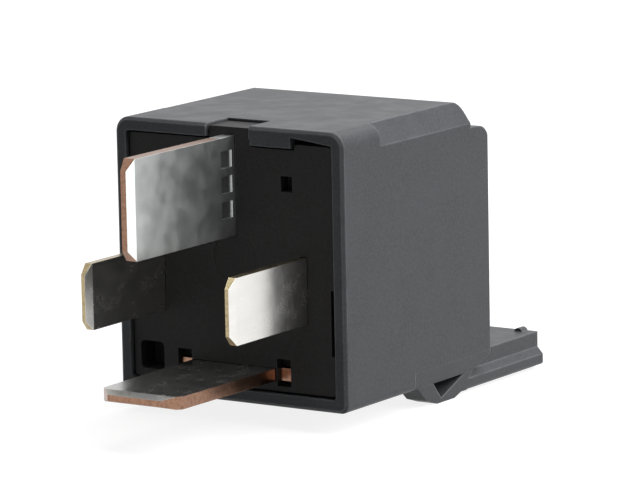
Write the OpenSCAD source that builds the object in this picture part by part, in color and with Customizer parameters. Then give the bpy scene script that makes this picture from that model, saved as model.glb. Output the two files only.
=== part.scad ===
// Plug-in automotive power relay with four blades and a slide tongue on its case.
// The origin is the centre of the case's mouth. The blades point along -Y, the
// closed end and the tongue along +Y, and +Z is up. Sizes are in millimetres.

/* [Case] */
// Width of the case
case_w = 25.9; // [25.2:0.1:28]
// Height of the case
case_h = 26.5; // [26.2:0.1:28]
// Depth of the case from its mouth to its closed end
case_d = 25.8; // [24.5:0.1:30]
// Thickness of the case walls
wall = 1.25; // [1:0.05:1.4]
// Radius of the upper corners of the mouth
mouth_r = 1.5; // [1:0.1:2]
// Radius of the lower corners of the mouth
low_r = 0.8; // [0.6:0.1:1.2]
// Bevel round the outer edge of the mouth
mouth_bevel = 0.3; // [0.1:0.05:0.4]
// Radius of the upright edges at the closed end
back_r = 0.3; // [0.2:0.1:1.2]
// Height of the step at the top of the closed end
step_h = 2.5; // [1.5:0.1:3.5]
// Length of the step at the top of the closed end
step_l = 3.3; // [2.5:0.1:4]
// Radius of the step's nose
step_r = 1.9; // [0.8:0.1:2.2]
// Radius where the top face ends
top_r = 1; // [0.4:0.1:1.5]

/* [Case edges] */
// Distance from the mouth to the start of the upper chamfers
upper_start = 6.5; // [4:0.1:10]
// Width of the upper chamfers
upper_x = 1.45; // [0.8:0.05:1.8]
// Height of the upper chamfers
upper_z = 2.05; // [1:0.05:2.4]
// Distance from the mouth to the start of the lower chamfers
lower_start = 12; // [9:0.1:13]
// Width of the lower chamfers
lower_x = 0.7; // [0.4:0.05:1]
// Height of the lower chamfers
lower_z = 1.8; // [0.8:0.05:2.2]

/* [Snap window] */
// Width of the window in the case's top wall
window_w = 4.9; // [4:0.1:6]
// Length of the window from the mouth
window_l = 3.8; // [3.8:0.1:5]
// Gap between the window and the base's snap tongue
window_gap = 0.2; // [0.1:0.05:0.4]
// Width of the keying rib beside the window
key_w = 4.5; // [3:0.1:6]
// Height of the keying rib
key_h = 0.55; // [0.3:0.05:0.8]

/* [Slide tongue] */
// Length of the tongue past the closed end
tongue_l = 10.9; // [6:0.1:14]
// Thickness of the tongue
tongue_t = 1.55; // [1.3:0.05:1.8]
// Inset of the tongue's side from the case's side
tongue_in = 1.3; // [1:0.05:2]
// Overhang of the rail under the tongue's side
rail_out = 0.6; // [0.3:0.05:0.9]
// Height of the rail below the case
rail_h = 1.7; // [1.2:0.05:2]
// Height of the rail's slanted shoulder
rail_slant = 0.65; // [0.3:0.05:1]
// Width of the rails and of the latch legs
rail_w = 2.3; // [1.8:0.1:3]
// Height of the latch legs below the case
leg_h = 2.1; // [2:0.1:3]
// Distance from the closed end to the front of the latch legs
leg_reach = 12.5; // [12:0.1:13]
// Length of the latch legs' flat foot
leg_foot = 3.1; // [2.5:0.1:3.4]
// Width of the detent nubs at the tongue's end
nub_w = 0.95; // [0.5:0.05:1.5]
// Height of the detent nubs
nub_h = 0.35; // [0.2:0.05:0.6]

/* [Base] */
// Depth of the base's face behind the mouth
base_recess = 0.4; // [0.2:0.1:1]
// Thickness of the base
base_t = 3.2; // [3:0.1:3.4]
// Gap between the base and the case
base_gap = 0.2; // [0.1:0.05:0.35]
// Gap between a blade and its slot
slot_gap = 0.04; // [0.02:0.01:0.1]
// Width and height of the corner pocket
corner_pocket = 2.75; // [2:0.05:3]
// Width of the pockets beside blade 87
side_pocket_w = 1.6; // [1.2:0.05:1.8]
// Depth of the pockets in the base's face
pocket_d = 1.3; // [0.8:0.1:2]

/* [Blades] */
// Width of the blades 30 and 87
wide_w = 9.5; // [9:0.1:9.8]
// Thickness of the blades 30 and 87
wide_t = 1.2; // [1:0.05:1.3]
// Width of blade 87 at its tip
tip_87_w = 8.9; // [8:0.1:9.5]
// Width of the blades 85 and 86
coil_w = 6.3; // [5.8:0.1:6.6]
// Thickness of the blades 85 and 86
coil_t = 0.8; // [0.6:0.05:1]
// Length of blade 30 in front of the mouth
len_30 = 16.7; // [11:0.1:18]
// Length of blade 87 in front of the mouth
len_87 = 15.9; // [11:0.1:18]
// Length of the blades 85 and 86 in front of the mouth
len_coil = 12.3; // [9:0.1:14]
// Cover over the edge of blade 30 at the case's top
over_30 = 1; // [0.5:0.05:1.2]
// Room between the case's bottom wall and the middle of blade 87
under_87 = 1.75; // [1.5:0.05:1.9]
// Depth of the blades 85 and 86 below the case's centre
z_coil = 1.95; // [1.5:0.05:2.4]
// Distance between the blades 85 and 86
coil_pitch = 16.2; // [16:0.1:17.5]
// Height of the tags inside on the blades 85 and 86
tag_h = 3; // [2:0.1:4]
// Length of the tags behind the base
tag_l = 3.8; // [3.3:0.1:5]
// Length of the ground lead-in at a blade's tip
tip_bevel = 1; // [0.5:0.1:1.5]
// Distance between the staking dents on blade 30
stake_pitch = 2.4; // [2:0.1:3]
// Height of each staking dent
stake_h = 1.6; // [1:0.1:1.8]
// Corner cut of blade 30
cut_30 = 1.05; // [0.5:0.05:1.5]
// Corner cut of blade 87
cut_87 = 1.45; // [0.5:0.05:1.8]
// Corner cut of the blades 85 and 86
cut_coil = 0.95; // [0.5:0.05:1.5]

/* [Magnet] */
// Thickness of the yoke
yoke_t = 1.6; // [1.4:0.1:1.8]
// Width of the yoke
yoke_w = 13; // [12:0.1:13.6]
// Room between the yoke and the case's top wall
yoke_room = 3.2; // [2.9:0.05:3.3]
// Room between the pole face and the end wall of the case's top
pole_room = 3.15; // [3.05:0.05:3.4]
// Room between the bobbin and the fixed contact's foot
coil_room = 0.5; // [0.4:0.1:1]
// Thickness of the bobbin's flanges
flange_t = 1; // [0.8:0.1:1.2]
// Diameter of the core
core_d = 5.5; // [5:0.1:6]
// Diameter of the pole head
pole_d = 8.6; // [8:0.1:9.4]
// Thickness of the pole head
pole_t = 0.8; // [0.6:0.1:1]
// Diameter of the winding wire's turns as they show
turn_d = 0.42; // [0.3:0.02:0.6]
// Thickness of the coil tape
tape_t = 0.15; // [0.1:0.05:0.2]
// Gap between the bobbin and the yoke
yoke_gap = 0.1; // [0.05:0.05:0.2]
// Distance between the yoke's foot and the bobbin's lower edge
yoke_foot = 0.45; // [0.2:0.05:2]

/* [Armature] */
// Angle through which the armature opens
arm_open = 3.4; // [2.5:0.1:3.6]
// Thickness of the armature
arm_t = 1.6; // [1.4:0.1:1.7]
// Width of the armature
arm_w = 11.6; // [10:0.1:12.4]
// Gap that stays between the closed armature and the pole
arm_gap = 0.05; // [0.03:0.01:0.1]
// Thickness of the contact spring
leaf_t = 0.3; // [0.2:0.05:0.35]
// Width of the contact spring
leaf_w = 5.6; // [5:0.1:6]
// Diameter of the contacts
contact_d = 3.4; // [3:0.1:3.6]
// Thickness of each contact
contact_t = 1.25; // [1.1:0.05:1.35]
// Diameter of the contact spring's rivets
rivet_d = 1.5; // [1.2:0.1:1.8]
// Height of the armature's end above the hinge
arm_over = 0.8; // [0.6:0.1:1]
// Height of the contacts above the middle of blade 87
contact_up = 2.1; // [1.9:0.1:2.4]

/* [Return spring] */
// Outer diameter of the return spring
spring_d = 2.2; // [1.8:0.1:2.4]
// Diameter of the spring wire
spring_wire = 0.35; // [0.25:0.05:0.4]
// Number of turns of the return spring
spring_turns = 12; // [8:1:14]
// Distance of the spring from the middle of the relay
spring_x = 3.8; // [3:0.1:5]
// Height of the spring's axis above the yoke
spring_z = 1.5; // [1.4:0.05:1.7]

/* [Small parts] */
// Width of the braid
braid_w = 2.4; // [1.6:0.1:3]
// Thickness of the braid
braid_t = 0.7; // [0.5:0.05:0.8]
// Height of the braid above the yoke
braid_up = 1.2; // [1.1:0.05:1.3]
// Distance from the hinge down to the braid's end
braid_drop = 2.9; // [2.2:0.1:4]
// Length of the tab on blade 30 that carries the braid
tab_l = 4.4; // [3:0.1:6]
// Gap between the tab and the yoke
tab_gap = 0.2; // [0.1:0.05:0.3]
// Thickness of the back stop strap
strap_t = 0.8; // [0.6:0.05:1]
// Diameter of the resistor's body
res_d = 2.2; // [1.8:0.1:2.3]
// Length of the resistor's body
res_l = 6.4; // [5:0.1:7]
// Diameter of the resistor's leads
res_wire = 0.6; // [0.4:0.05:0.7]
// Distance of the resistor behind the base
res_y = 2; // [1.9:0.1:2.3]
// Gap between the resistor and the bobbin
res_gap = 0.5; // [0.3:0.1:0.7]

/* [Hidden] */
$fn = 64;

// Overshoot of a cut past the face that it opens
cut = 1;
// Lap of two shapes that are fused
lap = 0.01;

// Half sizes and walls of the case
half_w = case_w / 2;
half_h = case_h / 2;
in_w = half_w - wall;
in_h = half_h - wall;
in_r = max(mouth_r - wall, 0.3);
ledge_z = half_h - step_h;
top_d = case_d - step_l;

// The tongue carries the case's bottom wall on past the closed end
tongue_x = half_w - tongue_in;
tongue_top = tongue_t - half_h;
tongue_end = case_d + tongue_l;
rail_x = tongue_x + rail_out;
leg_start = case_d - leg_reach;
rail_back = leg_start + 9;
relief_l = 2.4;

// The walls follow the chamfers inside
chamfer_in = 0.7;

// Faces of the base
base_in = base_recess + base_t;
base_w = in_w - base_gap;
base_h = in_h - base_gap;
snap_h = half_h - window_gap - 0.05;
key_x = window_w / 2 + 0.15;
relief_d = 1.6;
relief_h = 0.5;
side_slot = 0.4;

// Heights of the blades 30 and 87
z_30 = half_h - over_30 - wide_w / 2;
z_87 = in_h - under_87;

// Blade 87's shoulders stop it in the base and show in the pockets beside it
shoulder_x = wide_w / 2 + side_pocket_w;
shoulder_y = base_recess + 0.45;
tag_z = 0.3 - z_coil;

// The magnet is set out from the case's inner faces
pole_y = top_d - wall - pole_room;
yoke_z = in_h - yoke_room;
yoke_in = yoke_z - yoke_t;
contact_z = contact_up - z_87;
foot_top = contact_z + contact_d / 2 + 0.3;
coil_low = foot_top + coil_room;
flange_h = yoke_in - yoke_gap - coil_low;
flange_w = yoke_w - yoke_gap;
coil_z = coil_low + flange_h / 2;
bobbin_y = base_in + yoke_t;
flange_y = pole_y - pole_t - flange_t;
turns_r = min(flange_w, flange_h) / 2 - 0.35;
spigot_d = core_d - 1;

// The moving parts are drawn closed and then opened about the yoke's outer end edge
arm_in = pole_y + arm_gap;
arm_out = arm_in + arm_t;
leaf_out = arm_out + leaf_t;
head_t = 0.3;
arm_low = contact_z + contact_d / 2 + 0.9;
rivet_z = [-2.6, 2.4];

// The fixed contact's face stops just short of the closed moving contact
fixed_face = arm_out - contact_t - arm_gap;
foot_out = fixed_face - contact_t;
foot_in = foot_out - wide_t;

// The back stop meets the moving contact's rivet head when the armature is open
stop_y = pole_y + (leaf_out + head_t - pole_y) * cos(arm_open)
         + (yoke_z - contact_z + 1.2) * sin(arm_open) + 0.05;

// The back stop's strap runs along the case's floor, past blade 87's shoulder
strap_x = shoulder_x + 0.4;
strap_z = 0.45 - in_h;
strap_h = 1.8;
strap_foot = 1.2;

// The return spring hooks into the yoke's lug and into the armature's tail
axis_z = yoke_z + spring_z;
spring_r = (spring_d - spring_wire) / 2;
lug_in = bobbin_y + 3.6;
turns_in = bobbin_y + 5.7;
turns_out = pole_y - 1.2;
wire_start = lug_in - 0.5;
wire_end = arm_out + 0.4;
turn_steps = 14;

// The braid lands on the open contact spring
braid_z = yoke_z + braid_up;
braid_end = yoke_z - braid_drop;
braid_in = pole_y + (leaf_out - pole_y) * cos(arm_open)
           + (yoke_z - braid_end) * sin(arm_open) + 0.02;
braid_r = 0.8;

// A 2D outline given as (x, z), standing from y0 to y1
module along_y(y0, y1) {
    translate([0, y1, 0]) rotate([90, 0, 0]) linear_extrude(y1 - y0) children();
}

// A 2D outline given as (y, z), lying from x0 to x1
module along_x(x0, x1) {
    translate([x0, 0, 0]) rotate([90, 0, 90]) linear_extrude(x1 - x0) children();
}

// A cylinder on an axis along Y
module rod_y(x, z, y0, y1, d) {
    translate([x, y0, z]) rotate([-90, 0, 0]) cylinder(h = y1 - y0, d = d);
}

// A cylinder on an axis along X
module rod_x(y, z, x0, x1, d) {
    translate([x0, y, z]) rotate([0, 90, 0]) cylinder(h = x1 - x0, d = d);
}

// A box from its two corners
module box(a, b) {
    translate(a) cube(b - a);
}

// A rectangle from (x0, y0) to (x1, y1) with round corners
module round_rect(x0, y0, x1, y1, r) {
    translate([x0 + r, y0]) square([x1 - x0 - 2 * r, y1 - y0]);
    translate([x0, y0 + r]) square([x1 - x0, y1 - y0 - 2 * r]);
    for (x = [x0 + r, x1 - r], y = [y0 + r, y1 - r])
        translate([x, y]) circle(r);
}

// Both sides of the relay
module both_sides() {
    children();
    mirror([1, 0, 0]) children();
}

// The case's outer form, from its outlines seen from the front, the side and above
module case_form() {
    difference() {
        intersection() {
            along_y(0, case_d) {
                round_rect(-half_w, -half_h, half_w, half_h, mouth_r);
                round_rect(-half_w, -half_h, half_w, 0, low_r);
            }
            along_x(-half_w, half_w) {
                round_rect(-9, -half_h, case_d, ledge_z, step_r);
                round_rect(-9, -half_h, top_d, half_h, top_r);
            }
            translate([0, 0, -half_h]) linear_extrude(case_h)
                round_rect(-half_w, -9, half_w, case_d, back_r);
        }
        both_sides() case_chamfers();
        both_sides() rail_relief();
        both_sides() mouth_side_bevel();
        mouth_flat_bevel();
        mirror([0, 0, 1]) mouth_flat_bevel();
    }
}

// The bevel along the mouth's upper edge
module mouth_flat_bevel() {
    e = mouth_bevel;
    along_x(low_r - half_w, half_w - low_r)
        polygon([[-lap, half_h - e - lap], [e, half_h], [e, half_h + cut], [-lap, half_h + cut]]);
}

// The bevel along one side of the mouth and round its two corners
module mouth_side_bevel() {
    e = mouth_bevel;
    translate([0, 0, low_r - half_h]) linear_extrude(case_h - mouth_r - low_r)
        polygon([[half_w - e - lap, -lap], [half_w, e], [half_w + cut, e], [half_w + cut, -lap]]);
    corner_bevel(mouth_r);
    mirror([0, 0, 1]) corner_bevel(low_r);
}

// The bevel round one corner of radius r
module corner_bevel(r) {
    e = mouth_bevel;
    difference() {
        box([half_w - r, -lap, half_h - r], [half_w + cut, e, half_h + cut]);
        translate([half_w - r, -lap, half_h - r]) rotate([-90, 0, 0])
            cylinder(h = e + lap, r1 = r - e - lap, r2 = r);
    }
}

// The chamfers along one side's upper and lower edges
module case_chamfers() {
    along_y(upper_start, case_d + cut) polygon([
        [half_w - upper_x, half_h], [half_w, half_h - upper_z],
        [half_w + cut, half_h - upper_z], [half_w + cut, half_h + cut],
        [half_w - upper_x, half_h + cut]]);
    along_y(lower_start, case_d + cut) polygon([
        [half_w - lower_x, -half_h], [half_w, lower_z - half_h],
        [half_w + cut, lower_z - half_h], [half_w + cut, -half_h - cut],
        [half_w - lower_x, -half_h - cut]]);
}

// The slanting cut at the case's rear lower corner, which lets a bracket's lip in
module rail_relief() {
    along_x(tongue_x, half_w + cut) polygon([
        [case_d - relief_l, -half_h], [case_d, wall - half_h], [case_d + cut, wall - half_h],
        [case_d + cut, -half_h - cut], [case_d - relief_l, -half_h - cut]]);
}

// The room inside the case
module case_room() {
    difference() {
        along_y(-cut, case_d - wall) round_rect(-in_w, -in_h, in_w, in_h, in_r);
        box([-in_w - cut, top_d - wall, ledge_z - wall], [in_w + cut, case_d, in_h + cut]);
        both_sides() along_y(upper_start - wall / 2, case_d) polygon([
            [in_w - upper_x + chamfer_in, in_h], [in_w + lap, in_h - upper_z + chamfer_in],
            [in_w + cut, in_h + cut], [in_w - upper_x + chamfer_in, in_h + cut]]);
        both_sides() along_x(tongue_x - wall / 2, half_w) polygon([
            [case_d - wall - relief_l, -in_h], [case_d - wall, wall - in_h],
            [case_d, -in_h - cut], [case_d - wall - relief_l, -in_h - cut]]);
    }
}

// The snap window, the keyed edge and the relief beside it
module mouth_cuts() {
    box([-window_w / 2, -cut, 0], [window_w / 2, window_l, half_h + cut]);
    along_y(-cut, relief_d) polygon([
        [key_x + key_w, in_h - cut], [key_x + key_w, in_h + relief_h],
        [in_w - in_r, in_h], [in_w - in_r, in_h - cut]]);
}

// One latch leg, seen from the side, with its three-cornered window
module leg_outline() {
    foot_y = leg_start + 3.6;
    difference() {
        polygon([
            [leg_start, -half_h], [leg_start + 1.7, -half_h - leg_h + 0.6],
            [foot_y, -half_h - leg_h], [foot_y + leg_foot, -half_h - leg_h],
            [foot_y + leg_foot + 1.2, -half_h - rail_h], [rail_back + lap, -half_h - rail_h],
            [rail_back + lap, -half_h - rail_h / 2], [rail_back + 1.1, -half_h]]);
        polygon([
            [leg_start + 2.9, -half_h + lap], [leg_start + 4.3, -half_h - leg_h + 0.45],
            [leg_start + 8.5, -half_h + lap]]);
    }
}

// One rail's cross-section, with the slanted shoulder that the bracket's lip runs on
module rail_section() {
    polygon([
        [rail_x - rail_w, -half_h + lap], [tongue_x, -half_h + lap], [tongue_x, -half_h],
        [rail_x, -half_h - rail_slant], [rail_x, -half_h - rail_h + 0.15],
        [rail_x - 0.15, -half_h - rail_h], [rail_x - rail_w, -half_h - rail_h]]);
}

module cover() {
    color("#5d5f62") {
        difference() {
            case_form();
            case_room();
            mouth_cuts();
        }
        box([key_x, 0, in_h - key_h], [key_x + key_w, base_in, in_h + lap]);
        box([-tongue_x, case_d - wall, -half_h], [tongue_x, tongue_end, tongue_top]);
        both_sides() along_y(rail_back, tongue_end) rail_section();
        both_sides() along_x(rail_x - rail_w, rail_x) leg_outline();
        both_sides() rod_y(tongue_x - 1.6, tongue_top - nub_w / 2 + nub_h,
                           tongue_end - 1.1, tongue_end, nub_w);
    }
}

// The base's outline with its snap tongue, its key notch and its side relief
module base_outline() {
    difference() {
        union() {
            round_rect(-base_w, -base_h, base_w, base_h, 0.4);
            translate([-window_w / 2 + window_gap, 0])
                square([window_w - 2 * window_gap, snap_h]);
        }
        translate([key_x - base_gap, in_h - key_h - base_gap]) square([key_w + 2 * base_gap, cut + 1]);
        translate([base_w - side_slot, -8]) square([cut, coil_w]);
    }
}

module base() {
    color("#252525") difference() {
        along_y(base_recess, base_in) base_outline();
        // slots for the blades
        box([-wide_t / 2 - slot_gap, 0, z_30 - wide_w / 2 - slot_gap],
            [wide_t / 2 + slot_gap, base_in + cut, z_30 + wide_w / 2 + slot_gap]);
        box([-wide_w / 2 - slot_gap, 0, -z_87 - wide_t / 2 - slot_gap],
            [wide_w / 2 + slot_gap, base_in + cut, -z_87 + wide_t / 2 + slot_gap]);
        box([-shoulder_x - slot_gap, shoulder_y, -z_87 - wide_t / 2 - slot_gap],
            [shoulder_x + slot_gap, base_in + cut, -z_87 + wide_t / 2 + slot_gap]);
        both_sides()
            box([coil_pitch / 2 - coil_t / 2 - slot_gap, 0, -z_coil - coil_w / 2 - slot_gap],
                [coil_pitch / 2 + coil_t / 2 + slot_gap, base_in + cut,
                 -z_coil + coil_w / 2 + slot_gap]);
        // pockets that show the shoulders of blade 87
        both_sides()
            box([wide_w / 2 + 0.1, 0, -z_87 - 1.1],
                [wide_w / 2 + 0.1 + side_pocket_w, base_recess + pocket_d, -z_87 + 1.55]);
        // corner pocket and the small pocket beside blade 30
        along_y(0, base_in - 0.8)
            translate([0.7 - base_w, 0.75 - base_h])
                round_rect(0, 0, corner_pocket, corner_pocket, 0.5);
        along_y(0, base_recess + pocket_d)
            translate([5.7, z_30 - 0.25]) square([1.3, 1.5]);
        // ejector mark and the foot of the back stop strap
        rod_y(0.4, 0.5, 0, base_recess + 0.1, 5);
        box([strap_x - slot_gap, base_in - strap_foot - slot_gap, strap_z - slot_gap],
            [strap_x + strap_t + slot_gap, base_in + cut, strap_z + strap_h + slot_gap]);
    }
}

// A blade's face: width w from y0 to its tip at -len, with cut corners and a tip width
module blade_face(w, tip_w, len, y0, c) {
    polygon([
        [-w / 2, y0], [-tip_w / 2, c - len], [c - tip_w / 2, -len],
        [tip_w / 2 - c, -len], [tip_w / 2, c - len], [w / 2, y0]]);
}

// A blade's edge: thickness t from y0 to its tip at -len, with a ground lead-in
module blade_edge(t, len, y0) {
    polygon([
        [y0, -t / 2], [tip_bevel - len, -t / 2], [-len, -t / 4],
        [-len, t / 4], [tip_bevel - len, t / 2], [y0, t / 2]]);
}

// A level blade, its faces up and down, centred on z = 0
module flat_blade(w, tip_w, t, len, y0, c) {
    intersection() {
        translate([0, 0, -t]) linear_extrude(2 * t) blade_face(w, tip_w, len, y0, c);
        along_x(-w, w) blade_edge(t, len, y0);
    }
}

// The same blade on edge, its faces to the sides
module upright_blade(w, t, len, y0, c) {
    rotate([0, 90, 0]) flat_blade(w, w, t, len, y0, c);
}

// Three staking dents near the root of blade 30, on both faces
module stake_dents() {
    for (i = [-1, 0, 1])
        translate([0, 0, z_30 + 0.25 + i * stake_pitch])
            both_sides()
                box([wide_t / 2 - 0.12, -1.9, -stake_h / 2], [wide_t, -0.15, stake_h / 2]);
}

module terminal_30() {
    color("#b9bcbc") {
        difference() {
            translate([0, 0, z_30]) upright_blade(wide_w, wide_t, len_30, base_in, cut_30);
            stake_dents();
        }
        box([-wide_t / 2, base_in - lap, yoke_z + tab_gap],
            [wide_t / 2, base_in + tab_l, braid_z]);
    }
}

module terminal_87() {
    z = -z_87;
    color("#b9bcbc") {
        translate([0, 0, z])
            flat_blade(wide_w, tip_87_w, wide_t, len_87, shoulder_y + lap, cut_87);
        box([-shoulder_x, shoulder_y, z - wide_t / 2],
            [shoulder_x, base_in, z + wide_t / 2]);
        box([-3, base_in - lap, z - wide_t / 2], [3, foot_out, z + wide_t / 2]);
        difference() {
            box([-3, foot_in, z], [3, foot_out, foot_top]);
            rod_y(0, contact_z, foot_in - cut, foot_out + cut, 2 + 2 * slot_gap);
        }
    }
}

// Blade 85, with the narrow tag that takes the coil wire and the resistor's lead
module coil_terminal() {
    translate([coil_pitch / 2, 0, -z_coil])
        upright_blade(coil_w, coil_t, len_coil, base_in, cut_coil);
    difference() {
        box([coil_pitch / 2 - coil_t / 2, base_in - lap, tag_z - tag_h],
            [coil_pitch / 2 + coil_t / 2, base_in + tag_l, tag_z]);
        for (z = [tag_z - tag_h, tag_z])
            rod_x(base_in + tag_l - 0.8, z, coil_pitch / 2 - cut, coil_pitch / 2 + cut, 0.8);
    }
}

module terminal_85() {
    color("#c2beae") coil_terminal();
}

module terminal_86() {
    color("#c2beae") mirror([1, 0, 0]) coil_terminal();
}

module bobbin() {
    color("#2f3b35") difference() {
        union() {
            for (y = [bobbin_y, flange_y])
                along_y(y, y + flange_t)
                    round_rect(-flange_w / 2, coil_low, flange_w / 2, coil_low + flange_h, 2);
            rod_y(0, coil_z, bobbin_y, flange_y + flange_t, core_d + 2);
        }
        rod_y(0, coil_z, bobbin_y - cut, pole_y, core_d + 0.06);
    }
}

// The winding's turns show as a row of ridges along its barrel
module winding_profile() {
    y0 = bobbin_y + flange_t + 0.05;
    len = flange_y - bobbin_y - flange_t - 0.1;
    count = floor(len / turn_d);
    translate([core_d / 2 + 1.03, y0]) square([turns_r - turn_d / 2 - core_d / 2 - 1.03, len]);
    for (i = [0 : count - 1])
        translate([turns_r - turn_d / 2, y0 + len / 2 + (i - (count - 1) / 2) * turn_d])
            circle(d = turn_d, $fn = 16);
}

module coil_winding() {
    y = bobbin_y + flange_t + 0.6;
    reach = coil_pitch / 2 - coil_t / 2;
    color("#b0613a") {
        translate([0, 0, coil_z]) rotate([-90, 0, 0]) rotate_extrude() winding_profile();
        both_sides() rod_x(y, tag_z - 0.9, turns_r - 1.5, reach, 0.34);
    }
}

module coil_tape() {
    y0 = bobbin_y + flange_t + 1.1;
    y1 = flange_y - 0.5;
    color("#3c3420") difference() {
        rod_y(0, coil_z, y0, y1, 2 * (turns_r + tape_t + 0.02));
        rod_y(0, coil_z, y0 - cut, y1 + cut, 2 * (turns_r + 0.02));
    }
}

module core() {
    color("#8d9093") {
        rod_y(0, coil_z, base_in, bobbin_y + lap, spigot_d);
        rod_y(0, coil_z, bobbin_y, pole_y - pole_t + lap, core_d);
        rod_y(0, coil_z, pole_y - pole_t, pole_y, pole_d);
    }
}

// The spring's lug and the armature's tail share one outline and one hole
module lug(y0, y1, z0) {
    difference() {
        box([spring_x - 1, y0, z0], [spring_x + 1, y1, axis_z + 0.9]);
        rod_y(spring_x, axis_z, y0 - cut, y1 + cut, 1);
    }
}

module yoke() {
    color("#9a9da0") {
        difference() {
            box([-yoke_w / 2, base_in, coil_low + yoke_foot], [yoke_w / 2, bobbin_y, yoke_z]);
            rod_y(0, coil_z, base_in - cut, bobbin_y + cut, spigot_d + 0.04);
        }
        box([-yoke_w / 2, bobbin_y - lap, yoke_in], [yoke_w / 2, pole_y, yoke_z]);
        lug(lug_in, lug_in + 1, yoke_z - lap);
    }
}

// Opens what is drawn closed: the hinge is the outer edge of the yoke's end
module opened() {
    translate([0, pole_y, yoke_z]) rotate([arm_open, 0, 0]) translate([0, -pole_y, -yoke_z])
        children();
}

module armature() {
    color("#8f9295") opened() {
        difference() {
            along_y(arm_in, arm_out)
                round_rect(-arm_w / 2, arm_low, arm_w / 2, yoke_z + arm_over, 0.6);
            for (dz = rivet_z) rod_y(0, coil_z + dz, arm_in - cut, arm_out + cut, rivet_d + 0.04);
        }
        lug(arm_in, arm_out, yoke_z + arm_over - 0.3);
    }
}

module contact_spring() {
    color("#b98a4a") opened() difference() {
        along_y(arm_out, leaf_out) {
            round_rect(-leaf_w / 2, coil_z - 4.6, leaf_w / 2, yoke_z - 1.4, 0.6);
            round_rect(-contact_d / 2 - 0.5, contact_z - contact_d / 2 - 0.4,
                       contact_d / 2 + 0.5, coil_z - 3, 0.8);
        }
        for (dz = rivet_z) rod_y(0, coil_z + dz, arm_out - cut, leaf_out + cut, rivet_d + 0.04);
        rod_y(0, contact_z, arm_out - cut, leaf_out + cut, 1.64);
    }
}

module spring_rivets() {
    color("#a9acae") opened() for (dz = rivet_z) {
        rod_y(0, coil_z + dz, arm_in + 0.1, leaf_out + lap, rivet_d);
        rod_y(0, coil_z + dz, leaf_out, leaf_out + 0.25, rivet_d + 1);
    }
}

// A contact's head with a bevelled rim, its face at y0 and its back at y1
module contact_head(y0, y1) {
    rim = 0.35;
    dir = sign(y1 - y0);
    translate([0, y0, contact_z]) rotate([-90 * dir, 0, 0]) {
        cylinder(h = rim, d1 = contact_d - 2 * rim, d2 = contact_d);
        translate([0, 0, rim]) cylinder(h = contact_t - rim, d = contact_d);
    }
}

module moving_contact() {
    color("#d8d6cf") opened() {
        contact_head(arm_out - contact_t, arm_out);
        rod_y(0, contact_z, arm_out - lap, leaf_out + lap, 1.6);
        rod_y(0, contact_z, leaf_out, leaf_out + head_t, 2.2);
    }
}

module fixed_contact() {
    color("#d8d6cf") {
        contact_head(fixed_face, foot_out);
        rod_y(0, contact_z, foot_in, foot_out + lap, 2);
        rod_y(0, contact_z, foot_in - head_t, foot_in, 2.8);
    }
}

// A point on the return spring's turns
function turn_point(i) =
    let (a = 360 * i / turn_steps, y = turns_in + (turns_out - turns_in) * i / (spring_turns * turn_steps))
    [spring_x + spring_r * cos(a), y, axis_z + spring_r * sin(a)];

// The spring's wire runs through the yoke's lug, round its turns and through the
// armature's tail
function spring_path() = concat(
    [[spring_x, wire_start, axis_z + 0.9],
     [spring_x, wire_start, axis_z + 0.2],
     [spring_x, wire_start + 0.25, axis_z],
     [spring_x, turns_in - 0.5, axis_z]],
    [for (i = [0 : spring_turns * turn_steps]) turn_point(i)],
    [[spring_x, turns_out + 0.5, axis_z],
     [spring_x, wire_end - 0.25, axis_z],
     [spring_x, wire_end, axis_z - 0.2],
     [spring_x, wire_end, axis_z - 0.8]]);

function unit(v) = v / norm(v);

// The direction of a path at each of its points
function headings(p) = [
    for (i = [0 : len(p) - 1]) unit(p[min(i + 1, len(p) - 1)] - p[max(i - 1, 0)])];

// A side direction at each point, carried along so that the tube doesn't twist
function sides(t) = [
    for (i = 0, n = [1, 0, 0]; i < len(t);
         i = i + 1, n = i < len(t) ? unit(n - (n * t[i]) * t[i]) : n) n];

// A closed tube of radius r along a path, with k sides
module tube(p, r, k) {
    t = headings(p);
    n = sides(t);
    m = len(p);
    points = [
        for (i = [0 : m - 1], j = [0 : k - 1])
            p[i] + r * (n[i] * cos(360 * j / k) + cross(t[i], n[i]) * sin(360 * j / k))];
    faces = concat(
        [[for (j = [0 : k - 1]) j]],
        [[for (j = [k - 1 : -1 : 0]) (m - 1) * k + j]],
        [for (i = [0 : m - 2], j = [0 : k - 1])
            [i * k + j, (i + 1) * k + j, (i + 1) * k + (j + 1) % k, i * k + (j + 1) % k]]);
    polyhedron(points, faces);
}

module return_spring() {
    color("#c9cccf") tube(spring_path(), spring_wire / 2, 6);
}

// The braid lies on terminal 30's tab, turns down behind the armature and
// lands on the contact spring
module braid_outline() {
    yc = braid_in - braid_r;
    zc = braid_z - braid_r;
    translate([base_in + 0.8, braid_z]) square([yc - base_in - 0.8, braid_t]);
    translate([braid_in, braid_end]) square([braid_t, zc - braid_end]);
    intersection() {
        difference() {
            translate([yc, zc]) circle(braid_r + braid_t);
            translate([yc, zc]) circle(braid_r);
        }
        translate([yc, zc]) square(2 * (braid_r + braid_t));
    }
}

module braid() {
    color("#a5603c") along_x(-braid_w / 2, braid_w / 2) braid_outline();
}

module stop_strap() {
    color("#a2a5a7") {
        box([strap_x, base_in - strap_foot, strap_z],
            [strap_x + strap_t, stop_y + strap_t, strap_z + strap_h]);
        box([-1.5, stop_y, strap_z], [strap_x + strap_t, stop_y + strap_t, contact_z + 0.9]);
    }
}

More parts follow.
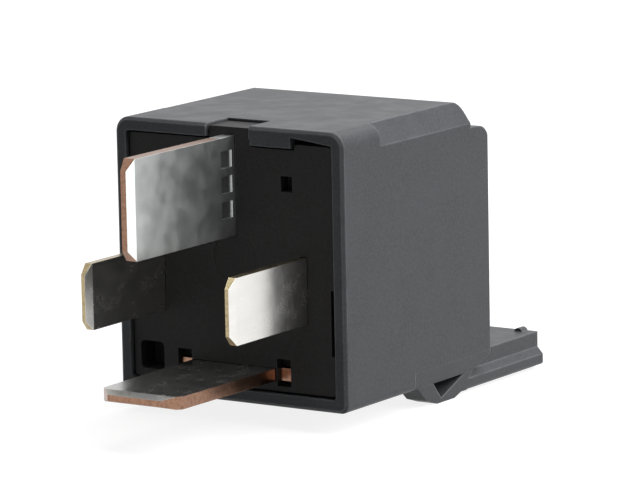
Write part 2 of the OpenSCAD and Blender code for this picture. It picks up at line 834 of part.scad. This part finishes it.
module resistor() {
    y = base_in + res_y;
    z = coil_low - res_d / 2 - res_gap;
    x = coil_pitch / 2 - coil_t / 2 - res_wire / 2;
    color("#cdb38a") {
        rod_x(y, z, -res_l / 2, res_l / 2, res_d);
        rod_x(y, z, -x, x, res_wire);
        both_sides() {
            translate([x, y, z]) cylinder(h = tag_z - tag_h / 2 - z, d = res_wire);
            translate([x, y, z]) sphere(d = res_wire, $fn = 32);
        }
    }
}

cover();
base();
terminal_30();
terminal_87();
terminal_85();
terminal_86();
bobbin();
coil_winding();
coil_tape();
core();
yoke();
armature();
contact_spring();
spring_rivets();
moving_contact();
fixed_contact();
return_spring();
braid();
stop_strap();
resistor();
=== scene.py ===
"""Looks of a plug-in automotive power relay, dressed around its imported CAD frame.

Every length is in metres, in the frame of the part: the origin is the centre of
the mouth of the case, the blades point along -Y and the slide tongue along +Y.
"""

import logging
import math
from dataclasses import dataclass
from enum import Enum
from typing import Any, Sequence

import bmesh
import bpy
from mathutils import Matrix, Vector


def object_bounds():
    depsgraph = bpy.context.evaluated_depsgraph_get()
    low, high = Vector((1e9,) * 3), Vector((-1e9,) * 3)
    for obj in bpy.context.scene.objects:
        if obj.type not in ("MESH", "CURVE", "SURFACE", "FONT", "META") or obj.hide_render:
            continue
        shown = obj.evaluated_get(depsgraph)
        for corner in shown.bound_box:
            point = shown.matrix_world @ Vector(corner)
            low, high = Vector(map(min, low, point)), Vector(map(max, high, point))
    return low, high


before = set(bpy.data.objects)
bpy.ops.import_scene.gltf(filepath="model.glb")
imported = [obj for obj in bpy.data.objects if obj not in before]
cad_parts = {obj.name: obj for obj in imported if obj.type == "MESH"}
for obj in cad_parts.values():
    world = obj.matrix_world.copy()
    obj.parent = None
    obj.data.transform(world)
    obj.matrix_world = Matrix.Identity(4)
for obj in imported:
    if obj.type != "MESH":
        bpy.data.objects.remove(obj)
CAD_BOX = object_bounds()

LOG = logging.getLogger("relay")
MM = 0.001

Colour = tuple[float, float, float]


class Axis(Enum):
    """An axis of the part, as the index of a vector's component."""

    X = 0
    Y = 1
    Z = 2


# ---------------------------------------------------------------------------
# Shader building
# ---------------------------------------------------------------------------


class Value:
    """A shader value that adds its Math nodes as Python arithmetic is written."""

    def __init__(self, shader: "Shader", socket: Any) -> None:
        """Wraps a socket.

        Args:
            shader: The shader whose tree takes the Math nodes.
            socket: The output socket that is wrapped.
        """
        self.shader = shader
        self.socket = socket

    def _math(self, operation: str, *terms: Any) -> "Value":
        """Adds one Math node.

        Args:
            operation: The node's operation.
            terms: Its inputs in order, as values or numbers.

        Returns:
            The node's result.
        """
        made = self.shader.node("Math", dict(enumerate(terms)), operation=operation)
        return Value(self.shader, made.outputs[0])

    def __add__(self, other: Any) -> "Value":
        """Returns self + other."""
        return self._math("ADD", self, other)

    __radd__ = __add__

    def __sub__(self, other: Any) -> "Value":
        """Returns self - other."""
        return self._math("SUBTRACT", self, other)

    def __rsub__(self, other: Any) -> "Value":
        """Returns other - self."""
        return self._math("SUBTRACT", other, self)

    def __mul__(self, other: Any) -> "Value":
        """Returns self * other."""
        return self._math("MULTIPLY", self, other)

    __rmul__ = __mul__

    def __truediv__(self, other: Any) -> "Value":
        """Returns self / other."""
        return self._math("DIVIDE", self, other)

    def __pow__(self, other: Any) -> "Value":
        """Returns self to the power of other."""
        return self._math("POWER", self, other)

    def __abs__(self) -> "Value":
        """Returns the value without its sign."""
        return self._math("ABSOLUTE", self)

    def above(self, edge: float) -> "Value":
        """Returns 1 where the value is over edge, and 0 elsewhere."""
        return self._math("GREATER_THAN", self, edge)

    def highest(self, other: Any) -> "Value":
        """Returns the larger of the two values."""
        return self._math("MAXIMUM", self, other)

    def ramp(self, low: float, high: float, to_low: float = 0.0, to_high: float = 1.0) -> "Value":
        """Maps a range smoothly onto another and holds it at the ends.

        Args:
            low: The value that gives to_low.
            high: The value that gives to_high.
            to_low: The result at and below low.
            to_high: The result at and above high.

        Returns:
            The mapped value.
        """
        sockets = {"Value": self, "From Min": low, "From Max": high, "To Min": to_low, "To Max": to_high}
        made = self.shader.node("MapRange", sockets, interpolation_type="SMOOTHSTEP", clamp=True)
        return Value(self.shader, made.outputs[0])


class Shader:
    """A material under construction, with one Principled surface."""

    def __init__(self, name: str) -> None:
        """Starts an empty material.

        Args:
            name: The material's name.
        """
        self.material = bpy.data.materials.new(name)
        self.material.use_nodes = True
        self.tree = self.material.node_tree
        self.tree.nodes.clear()
        self.output = self.tree.nodes.new("ShaderNodeOutputMaterial")

    def node(self, kind: str, sockets: dict | None = None, **settings: Any) -> bpy.types.Node:
        """Adds a node, sets it up and then fills its inputs.

        Args:
            kind: The node's type without its ShaderNode prefix.
            sockets: Inputs by name or index, as values, sockets or constants.
            settings: The node's own settings.

        Returns:
            The new node.
        """
        made = self.tree.nodes.new("ShaderNode" + kind)
        for name, setting in settings.items():
            setattr(made, name, setting)
        for key, value in (sockets or {}).items():
            self.plug(made.inputs[key], value)
        return made

    def plug(self, target: Any, value: Any) -> None:
        """Links a value to an input, or writes a constant on it.

        Args:
            target: The input socket.
            value: A Value, an output socket, or a constant.
        """
        if isinstance(value, Value):
            value = value.socket
        if isinstance(value, bpy.types.NodeSocket):
            self.tree.links.new(value, target)
        elif target.type == "RGBA" and len(value) == 3:
            target.default_value = (*value, 1.0)
        else:
            target.default_value = value

    def place(self, scale: Sequence[float] = (1, 1, 1), turn: Sequence[float] = (0, 0, 0)) -> Any:
        """Gives the object coordinates in millimetres, stretched and turned.

        Args:
            scale: The factors along X, Y and Z, over millimetres.
            turn: The turn about X, Y and Z in radians.

        Returns:
            The coordinates' output socket.
        """
        coordinates = self.node("TexCoord").outputs["Object"]
        factors = [factor / MM for factor in scale]
        sockets = {"Vector": coordinates, "Rotation": tuple(turn), "Scale": factors}
        return self.node("Mapping", sockets).outputs[0]

    def along(self, axis: Axis) -> Value:
        """Gives the place along an axis in millimetres.

        Args:
            axis: The axis.

        Returns:
            The coordinate.
        """
        split = self.node("SeparateXYZ", {0: self.place()})
        return Value(self, split.outputs[axis.value])

    def facing(self, axis: Axis) -> Value:
        """Gives how squarely the surface faces along an axis, from 0 to 1.

        Args:
            axis: The axis.

        Returns:
            The size of the normal's component.
        """
        normal = self.node("TexCoord").outputs["Normal"]
        split = self.node("SeparateXYZ", {0: normal})
        return abs(Value(self, split.outputs[axis.value]))

    def noise(self, where: Any, scale: float, detail: float = 3.0, rough: float = 0.55) -> Value:
        """Adds fractal noise.

        Args:
            where: The coordinates that it reads.
            scale: Its features for each millimetre.
            detail: How many octaves it has.
            rough: How strong the fine octaves are.

        Returns:
            The noise, from 0 to 1.
        """
        sockets = {"Vector": where, "Scale": scale, "Detail": detail, "Roughness": rough}
        return Value(self, self.node("TexNoise", sockets).outputs[0])

    def specks(self, where: Any, scale: float, size: float) -> Value:
        """Adds small round specks, one near each cell's middle.

        Args:
            where: The coordinates that they read.
            scale: The cells for each millimetre.
            size: A speck's reach as a share of its cell.

        Returns:
            A mask that is 1 in the middle of a speck.
        """
        made = self.node("TexVoronoi", {"Vector": where, "Scale": scale, "Randomness": 1.0})
        return Value(self, made.outputs["Distance"]).ramp(size * 0.5, size, 1.0, 0.0)

    def blend(self, share: Any, first: Any, second: Any, mode: str = "MIX") -> Any:
        """Mixes two colours.

        Args:
            share: How much of the second colour shows, from 0 to 1.
            first: The first colour or its socket.
            second: The second colour or its socket.
            mode: The way that they mix.

        Returns:
            The mixed colour's output socket.
        """
        sockets = {0: share, 6: first, 7: second}
        made = self.node("Mix", sockets, data_type="RGBA", blend_type=mode, clamp_factor=True)
        return made.outputs[2]

    def rounded(self, radius: float, height: Any = None, depth: float = 0.0) -> Any:
        """Softens the sharp edges, and lays a relief on the surface.

        Args:
            radius: The radius of the softened edges in metres.
            height: The relief, from 0 to 1, or None where the surface is plain.
            depth: How deep the relief is in metres.

        Returns:
            The normal's output socket.
        """
        edges = self.node("Bevel", {"Radius": radius}, samples=6).outputs[0]
        if height is None:
            return edges
        return self.node("Bump", {"Strength": 1.0, "Distance": depth, "Height": height, "Normal": edges}).outputs[0]

    def edges(self, radius: float) -> Value:
        """Finds the surface beside the edges.

        Args:
            radius: How far from an edge the mask reaches, in metres.

        Returns:
            A mask that is 1 along the edges.
        """
        soft = self.node("Bevel", {"Radius": radius}, samples=6).outputs[0]
        flat = self.node("NewGeometry").outputs["Normal"]
        made = self.node("VectorMath", {0: soft, 1: flat}, operation="DOT_PRODUCT")
        return Value(self, made.outputs["Value"]).ramp(0.965, 0.999, 1.0, 0.0)

    def surface(self, **sockets: Any) -> bpy.types.Material:
        """Closes the material with a Principled surface.

        Args:
            sockets: Its inputs, with underscores for the spaces in their names.

        Returns:
            The finished material.
        """
        named = {name.replace("_", " "): value for name, value in sockets.items()}
        made = self.node("BsdfPrincipled", named)
        self.plug(self.output.inputs[0], made.outputs[0])
        return self.material


# ---------------------------------------------------------------------------
# Finishes
# ---------------------------------------------------------------------------


@dataclass(frozen=True)
class Moulding:
    """A moulded plastic with a spark-eroded grain, and a painted highlight along its edges."""

    name: str
    colour: Colour
    rough: float = 0.5
    specular: float = 0.14
    grain: float = 4.0
    relief: float = 0.008 * MM
    edge: float = 0.12 * MM

    def material(self) -> bpy.types.Material:
        """Builds the plastic's material."""
        shader = Shader(self.name)
        place = shader.place()
        cloud = shader.noise(place, 0.35, 4.0)
        fine = shader.noise(place, self.grain, 2.0)
        dark = tuple(0.9 * c for c in self.colour)
        light = tuple(1.1 * c for c in self.colour)
        colour = shader.blend(cloud.ramp(0.3, 0.7), dark, light)
        colour = shader.blend(fine.ramp(0.3, 0.7, 0.0, 0.6), colour, tuple(1.5 * c for c in self.colour))
        # Scattered small specks, darkened to 0.35 of the colour.
        dark_specks = shader.specks(place, 0.7, 0.05)
        colour = shader.blend(dark_specks, colour, tuple(0.35 * c for c in self.colour))
        # Beside every edge the colour is lifted threefold, varied by the cloud: a painted highlight along the edges.
        pale_share = shader.edges(self.edge) * cloud.ramp(0.3, 0.6, 0.4, 0.9)
        colour = shader.blend(pale_share, colour, tuple(3.0 * c for c in self.colour))
        rough = cloud.ramp(0.3, 0.7, self.rough - 0.05, self.rough + 0.05)
        normal = shader.rounded(self.edge, fine, self.relief)
        return shader.surface(
            Base_Color=colour, Roughness=rough, Specular_IOR_Level=self.specular, Normal=normal
        )


@dataclass(frozen=True)
class TinPlate:
    """Tin-plated strip whose sheared edges show the bare metal."""

    name: str
    bare: Colour
    faces: Axis
    tin: Colour = (0.66, 0.67, 0.66)
    rough: float = 0.25
    staked_with_root_shade: bool = False

    def material(self) -> bpy.types.Material:
        """Builds the plated strip's material."""
        shader = Shader(self.name)
        place = shader.place()
        stretched = [4.0, 4.0, 4.0]
        stretched[Axis.Y.value] = 0.35
        streaks = shader.noise(shader.place(stretched), 1.0, 5.0, 0.65)
        cloud = shader.noise(place, 0.5, 4.0)
        spots = shader.noise(place, 3.0, 3.0)
        plated = shader.facing(self.faces).ramp(0.6, 0.8)
        tin = shader.blend(cloud.ramp(0.3, 0.7), tuple(0.93 * c for c in self.tin), self.tin)
        tin = shader.blend(streaks.ramp(0.4, 0.7, 0.0, 0.1), tin, tuple(0.7 * c for c in self.tin))
        bare = shader.blend(spots.ramp(0.4, 0.7), self.bare, tuple(0.7 * c for c in self.bare))
        # The tin's share over the bare metal: whole on the plated faces, a little thinner in worn patches.
        pale_share = plated * cloud.ramp(0.72, 0.8, 1.0, 0.9)
        rough = cloud.ramp(0.3, 0.7, self.rough - 0.02, self.rough + 0.03)
        relief = streaks * 0.1
        # Within 2 mm of the base the edges get staking dents in roughness and relief, and are darkened to 0.55 of
        # the tin as painted shade at the root.
        if self.staked_with_root_shade:
            root = shader.along(Axis.Y).above(-2.0)
            dent_and_root_shade = root * abs(shader.along(Axis.X)).ramp(0.5, 0.56, 1.0, 0.0)
            pale_share = pale_share.highest(root)
            rough = rough.highest(dent_and_root_shade * 0.3)
            tin = shader.blend(dent_and_root_shade, tin, tuple(0.55 * c for c in self.tin))
            relief = relief + dent_and_root_shade * spots
        normal = shader.rounded(0.05 * MM, relief, 0.012 * MM)
        return shader.surface(
            Base_Color=shader.blend(pale_share, bare, tin), Metallic=1.0, Roughness=rough, Normal=normal
        )


@dataclass(frozen=True)
class Metal:
    """A plain metal with rolling marks along one axis."""

    name: str
    colour: Colour
    rough: float = 0.3
    marks: Axis = Axis.Y

    def material(self) -> bpy.types.Material:
        """Builds the metal's material."""
        shader = Shader(self.name)
        stretched = [5.0, 5.0, 5.0]
        stretched[self.marks.value] = 0.4
        streaks = shader.noise(shader.place(stretched), 1.0, 4.0, 0.6)
        cloud = shader.noise(shader.place(), 0.8, 3.0)
        colour = shader.blend(cloud.ramp(0.3, 0.7), tuple(0.84 * c for c in self.colour), self.colour)
        rough = streaks.ramp(0.3, 0.7, self.rough - 0.05, self.rough + 0.12)
        normal = shader.rounded(0.06 * MM, streaks, 0.004 * MM)
        return shader.surface(Base_Color=colour, Metallic=1.0, Roughness=rough, Normal=normal)


@dataclass(frozen=True)
class Winding:
    """Enamelled copper wire, with painted shade in the grooves where the turns meet."""

    name: str
    colour: Colour = (0.5, 0.17, 0.06)

    def material(self) -> bpy.types.Material:
        """Builds the enamelled wire's material."""
        shader = Shader(self.name)
        lay = shader.noise(shader.place((0.5, 6.0, 0.5)), 1.0, 2.0)
        # Darker at the low places of the lay, where the bump sinks: painted shade between the turns.
        colour = shader.blend(lay.ramp(0.35, 0.65), tuple(0.6 * c for c in self.colour), self.colour)
        rough = lay.ramp(0.3, 0.7, 0.22, 0.34)
        normal = shader.rounded(0.03 * MM, lay, 0.004 * MM)
        return shader.surface(Base_Color=colour, Metallic=0.75, Roughness=rough, Normal=normal)


@dataclass(frozen=True)
class Braiding:
    """Flat copper braid: fine strands that cross each other."""

    name: str
    colour: Colour = (0.55, 0.22, 0.1)

    def material(self) -> bpy.types.Material:
        """Builds the braid's material."""
        shader = Shader(self.name)
        strands = []
        for turn in (0.6, -0.6):
            place = shader.place(turn=(turn, 0.0, turn))
            made = shader.node("TexWave", {"Vector": place, "Scale": 1.1, "Distortion": 0.4})
            strands.append(Value(shader, made.outputs[1]))
        weave = strands[0].highest(strands[1])
        # The troughs of the weave are darkened to 0.35 of the copper: painted shade between the strands.
        colour = shader.blend(weave.ramp(0.3, 0.8), tuple(0.35 * c for c in self.colour), self.colour)
        normal = shader.rounded(0.1 * MM, weave, 0.06 * MM)
        return shader.surface(
            Base_Color=colour, Metallic=1.0, Roughness=weave.ramp(0.2, 0.8, 0.5, 0.3), Normal=normal
        )


@dataclass(frozen=True)
class Tape:
    """Amber adhesive tape over the winding."""

    name: str
    colour: Colour = (0.36, 0.2, 0.03)

    def material(self) -> bpy.types.Material:
        """Builds the tape's material."""
        shader = Shader(self.name)
        wrinkles = shader.noise(shader.place((0.6, 2.5, 0.6)), 1.0, 3.0)
        colour = shader.blend(wrinkles.ramp(0.35, 0.7), self.colour, tuple(0.65 * c for c in self.colour))
        normal = shader.rounded(0.05 * MM, wrinkles, 0.03 * MM)
        return shader.surface(Base_Color=colour, Roughness=wrinkles.ramp(0.3, 0.7, 0.15, 0.3), Normal=normal)


@dataclass(frozen=True)
class Lacquer:
    """A resistor's lacquered body with plain colour bands, and its tinned leads."""

    name: str
    half_body: float
    colour: Colour = (0.6, 0.45, 0.24)
    bands: tuple[tuple[float, Colour], ...] = (
        (-1.9, (0.05, 0.12, 0.45)),
        (-0.9, (0.25, 0.26, 0.28)),
        (0.1, (0.3, 0.08, 0.03)),
        (1.6, (0.55, 0.38, 0.1)),
    )

    def material(self) -> bpy.types.Material:
        """Builds the resistor's material."""
        shader = Shader(self.name)
        cloud = shader.noise(shader.place(), 1.5, 3.0)
        across = shader.along(Axis.X)
        colour = shader.blend(cloud.ramp(0.3, 0.7), self.colour, tuple(0.85 * c for c in self.colour))
        for centre, band in self.bands:
            inside = abs(across - centre).ramp(0.2, 0.26, 1.0, 0.0)
            colour = shader.blend(inside, colour, band)
        lead = abs(across).above(self.half_body / MM)
        colour = shader.blend(lead, colour, (0.6, 0.6, 0.58))
        rough = cloud.ramp(0.3, 0.7, 0.25, 0.38)
        normal = shader.rounded(0.2 * MM, cloud, 0.01 * MM)
        return shader.surface(Base_Color=colour, Metallic=lead, Roughness=rough, Normal=normal)


# ---------------------------------------------------------------------------
# Sub-assemblies
# ---------------------------------------------------------------------------


def dress(node: str, material: bpy.types.Material) -> None:
    """Gives a CAD node its material.

    Args:
        node: The node's name.
        material: The material.
    """
    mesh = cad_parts[node].data
    mesh.materials.clear()
    mesh.materials.append(material)
    LOG.info("dressed %s with %s", node, material.name)


@dataclass
class Housing:
    """The moulded cover and the base in its mouth."""

    case: Moulding = Moulding("case_plastic", (0.043, 0.0455, 0.049), rough=0.42, relief=0.008 * MM, edge=0.22 * MM)
    header: Moulding = Moulding("base_plastic", (0.016, 0.0155, 0.0155), rough=0.5, specular=0.12, relief=0.005 * MM)

    def build(self) -> None:
        """Dresses the two mouldings."""
        dress("cover", self.case.material())
        dress("base", self.header.material())


@dataclass
class Blades:
    """The four blade terminals."""

    copper: Colour = (0.3, 0.17, 0.115)
    brass: Colour = (0.42, 0.34, 0.2)

    def build(self) -> None:
        """Dresses the power blades and the coil blades."""
        # The same tin is painted lighter on terminal_30 (0.76) and darker on terminal_87 (0.5): lit and shaded
        # copies of one plating.
        dress("terminal_30", TinPlate("tinned_copper_upright_lit", self.copper, Axis.X, tin=(0.76, 0.79, 0.78), rough=0.31, staked_with_root_shade=True).material())
        dress("terminal_87", TinPlate("tinned_copper_level_shaded", self.copper, Axis.Z, tin=(0.5, 0.5, 0.49)).material())
        coil = TinPlate("tinned_brass", self.brass, Axis.X, tin=(0.72, 0.71, 0.68)).material()
        for node in ("terminal_85", "terminal_86"):
            dress(node, coil)


@dataclass
class Magnet:
    """The coil and the fixed iron."""

    iron: Metal = Metal("magnet_iron", (0.5, 0.51, 0.52), 0.34)
    reel: Moulding = Moulding("bobbin_plastic", (0.03, 0.05, 0.045), rough=0.42)

    def build(self) -> None:
        """Dresses the bobbin, the winding, its tape and the iron."""
        iron = self.iron.material()
        for node in ("core", "yoke", "armature"):
            dress(node, iron)
        dress("bobbin", self.reel.material())
        dress("coil_winding", Winding("enamelled_copper").material())
        dress("coil_tape", Tape("amber_tape").material())


@dataclass
class Switchgear:
    """The contacts, their springs and the small parts round them."""

    silver: Metal = Metal("silver_alloy", (0.78, 0.77, 0.74), 0.25)
    bronze: Metal = Metal("spring_bronze", (0.56, 0.33, 0.14), 0.28, Axis.Z)
    rivet: Metal = Metal("rivet_metal", (0.6, 0.6, 0.58), 0.3)
    wire: Metal = Metal("spring_steel", (0.58, 0.59, 0.6), 0.25)
    strap: Metal = Metal("plated_brass", (0.58, 0.57, 0.52), 0.3)

    def build(self) -> None:
        """Dresses the moving and fixed contacts and what serves them."""
        silver = self.silver.material()
        dress("moving_contact", silver)
        dress("fixed_contact", silver)
        dress("contact_spring", self.bronze.material())
        dress("spring_rivets", self.rivet.material())
        dress("return_spring", self.wire.material())
        dress("stop_strap", self.strap.material())
        dress("braid", Braiding("bare_copper").material())
        half_body = 3.22 * MM
        dress("resistor", Lacquer("resistor_lacquer", half_body).material())


# ---------------------------------------------------------------------------
# Studio
# ---------------------------------------------------------------------------


@dataclass(frozen=True)
class Lamp:
    """A soft square lamp that points at the relay."""

    name: str
    azimuth: float
    elevation: float
    distance: float
    size: float
    power: float

    def build(self, target: Vector) -> None:
        """Hangs the lamp.

        Args:
            target: The point that it is aimed at.
        """
        data = bpy.data.lights.new(self.name, "AREA")
        data.shape = "SQUARE"
        data.size = self.size
        data.energy = self.power
        lamp = bpy.data.objects.new(self.name, data)
        bpy.context.scene.collection.objects.link(lamp)
        turn, rise = math.radians(self.azimuth), math.radians(self.elevation)
        away = Vector(
            (math.sin(turn) * math.cos(rise), -math.cos(turn) * math.cos(rise), math.sin(rise))
        )
        lamp.location = target + away * self.distance
        lamp.rotation_euler = away.to_track_quat("Z", "Y").to_euler()


@dataclass
class Studio:
    """A pale floor, a white surround and soft lamps."""

    ambient: float = 0.06
    floor_half: float = 1.5
    floor_albedo: float = 0.25
    floor_glow: float = 0.85
    lamps: tuple[Lamp, ...] = (
        Lamp("key_lamp", 105.0, 30.0, 0.6, 0.5, 4.4),
        Lamp("top_lamp", 150.0, 70.0, 0.6, 0.6, 5.4),
        Lamp("fill_lamp", -60.0, 25.0, 0.8, 0.5, 0.25),
    )

    def build(self) -> None:
        """Lays the floor and lights the relay."""
        low, high = (Vector(corner) for corner in CAD_BOX)
        self._floor(low.z)
        self._world()
        for lamp in self.lamps:
            lamp.build((low + high) / 2)

    def _floor(self, level: float) -> None:
        """Lays a floor that looks white and keeps the shadow.

        Args:
            level: The floor's height.
        """
        mesh = bpy.data.meshes.new("floor")
        shape = bmesh.new()
        bmesh.ops.create_grid(shape, x_segments=1, y_segments=1, size=self.floor_half)
        shape.to_mesh(mesh)
        shape.free()
        floor = bpy.data.objects.new("floor", mesh)
        floor.location.z = level
        bpy.context.scene.collection.objects.link(floor)
        shader = Shader("floor_paper")
        albedo = (self.floor_albedo,) * 3
        matt = shader.node("BsdfDiffuse", {"Color": albedo}).outputs[0]
        glow = shader.node("Emission", {"Color": (1.0, 1.0, 1.0), "Strength": self.floor_glow}).outputs[0]
        lit = shader.node("AddShader", {0: matt, 1: glow}).outputs[0]
        path = shader.node("LightPath")
        seen = Value(shader, path.outputs["Is Camera Ray"]).highest(Value(shader, path.outputs["Is Glossy Ray"]))
        shader.plug(shader.output.inputs[0], shader.node("MixShader", {0: seen, 1: matt, 2: lit}).outputs[0])
        mesh.materials.append(shader.material)

    def _world(self) -> None:
        """Makes the surround white to look at and in reflections, and dimmer as a light."""
        world = bpy.data.worlds.new("surround")
        world.use_nodes = True
        bpy.context.scene.world = world
        tree = world.node_tree
        path = tree.nodes.new("ShaderNodeLightPath")
        seen = None
        for name in ("Is Camera Ray", "Is Glossy Ray", "Is Transmission Ray"):
            if seen is None:
                seen = path.outputs[name]
                continue
            both = tree.nodes.new("ShaderNodeMath")
            both.operation = "MAXIMUM"
            tree.links.new(seen, both.inputs[0])
            tree.links.new(path.outputs[name], both.inputs[1])
            seen = both.outputs[0]
        strength = tree.nodes.new("ShaderNodeMapRange")
        strength.inputs["To Min"].default_value = self.ambient
        tree.links.new(seen, strength.inputs["Value"])
        background = tree.nodes["Background"]
        background.inputs["Color"].default_value = (1.0, 1.0, 1.0, 1.0)
        tree.links.new(strength.outputs[0], background.inputs["Strength"])


@dataclass
class Camera:
    """A long lens that looks at the blades from the right and a little above."""

    azimuth: float = 33.67
    elevation: float = 10.02
    roll: float = -1.113
    distance: float = 465.3 * MM
    aim: Vector = Vector((0.0, 12.0 * MM, 0.0))
    offset: tuple[float, float] = (-1.191 * MM, 0.554 * MM)
    lens: float = 278.8
    sensor: float = 36.0

    def build(self) -> None:
        """Sets the camera up."""
        turn, rise, roll = (math.radians(a) for a in (self.azimuth, self.elevation, self.roll))
        back = Vector(
            (math.sin(turn) * math.cos(rise), -math.cos(turn) * math.cos(rise), math.sin(rise))
        )
        level = Vector((math.cos(turn), math.sin(turn), 0.0))
        upright = back.cross(level)
        right = level * math.cos(roll) + upright * math.sin(roll)
        up = upright * math.cos(roll) - level * math.sin(roll)
        data = bpy.data.cameras.new("camera")
        data.lens = self.lens
        data.sensor_width = self.sensor
        data.clip_start = 0.01
        camera = bpy.data.objects.new("camera", data)
        place = Matrix((right, up, back)).transposed().to_4x4()
        place.translation = (
            self.aim - right * self.offset[0] - up * self.offset[1] + back * self.distance
        )
        camera.matrix_world = place
        bpy.context.scene.collection.objects.link(camera)
        bpy.context.scene.camera = camera


def main() -> None:
    """Builds the relay's looks and the studio round it."""
    logging.basicConfig(level=logging.INFO, format="%(name)s: %(message)s")
    bpy.context.scene.view_settings.view_transform = "Standard"
    for part in (Camera(), Housing(), Blades(), Magnet(), Switchgear(), Studio()):
        part.build()
        LOG.info("built %s", type(part).__name__)


if __name__ == "__main__":
    main()
